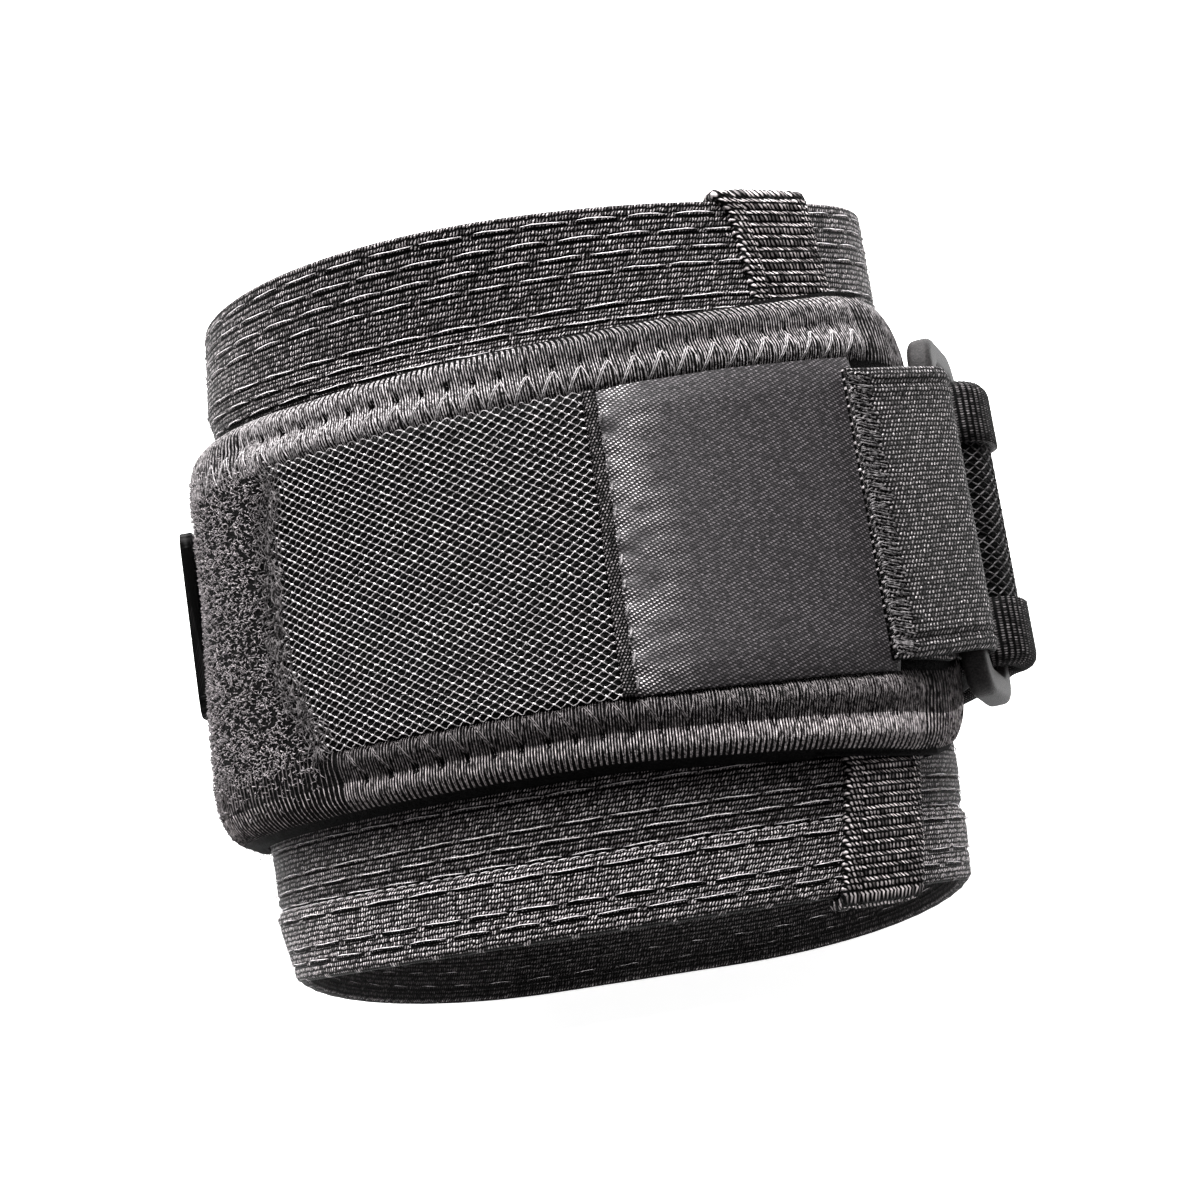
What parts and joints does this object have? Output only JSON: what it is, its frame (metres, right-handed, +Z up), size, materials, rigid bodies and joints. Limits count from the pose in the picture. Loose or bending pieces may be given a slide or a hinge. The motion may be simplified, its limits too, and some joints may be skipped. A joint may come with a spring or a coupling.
{
  "type": "tennis elbow strap",
  "caption": "Elastic forearm sleeve with a foam pad on its front and a strap that runs through a plastic slot ring, round the back of the arm, to a hook-and-loop tab.",
  "frame": {"origin": "under the middle of the whole, on the surface that the strap's back rests on", "axes": "+Y along the forearm to the upper rim, +X across the arm to the plastic ring, +Z up from the back of the strap to the pad"},
  "size_m": [0.11, 0.0934, 0.0923],
  "materials": {
    "knit_elastic": "matt ribbed knit",
    "ribbed_webbing": "ribbed webbing",
    "pad_pile": "brushed loop pile over foam",
    "open_mesh": "open warp-knit mesh",
    "satin": "satin twill",
    "tab_webbing": "basket-weave webbing",
    "ring_plastic": "satin moulded plastic",
    "strap_mesh": "spacer mesh",
    "binding_tape": "ribbed elastic tape",
    "hook_tape": "moulded hook tape"
  },
  "bodies": {
    "root": {"sleeve": "knit_elastic", "seam_binding": "ribbed_webbing", "pad": "pad_pile", "mesh_panel": "open_mesh", "label": "satin", "ring_tab": "tab_webbing", "ring": "ring_plastic", "strap": "strap_mesh", "strap_binding_upper": "binding_tape", "strap_binding_lower": "binding_tape", "hook_tab": "hook_tape"}
  },
  "joints": []
}
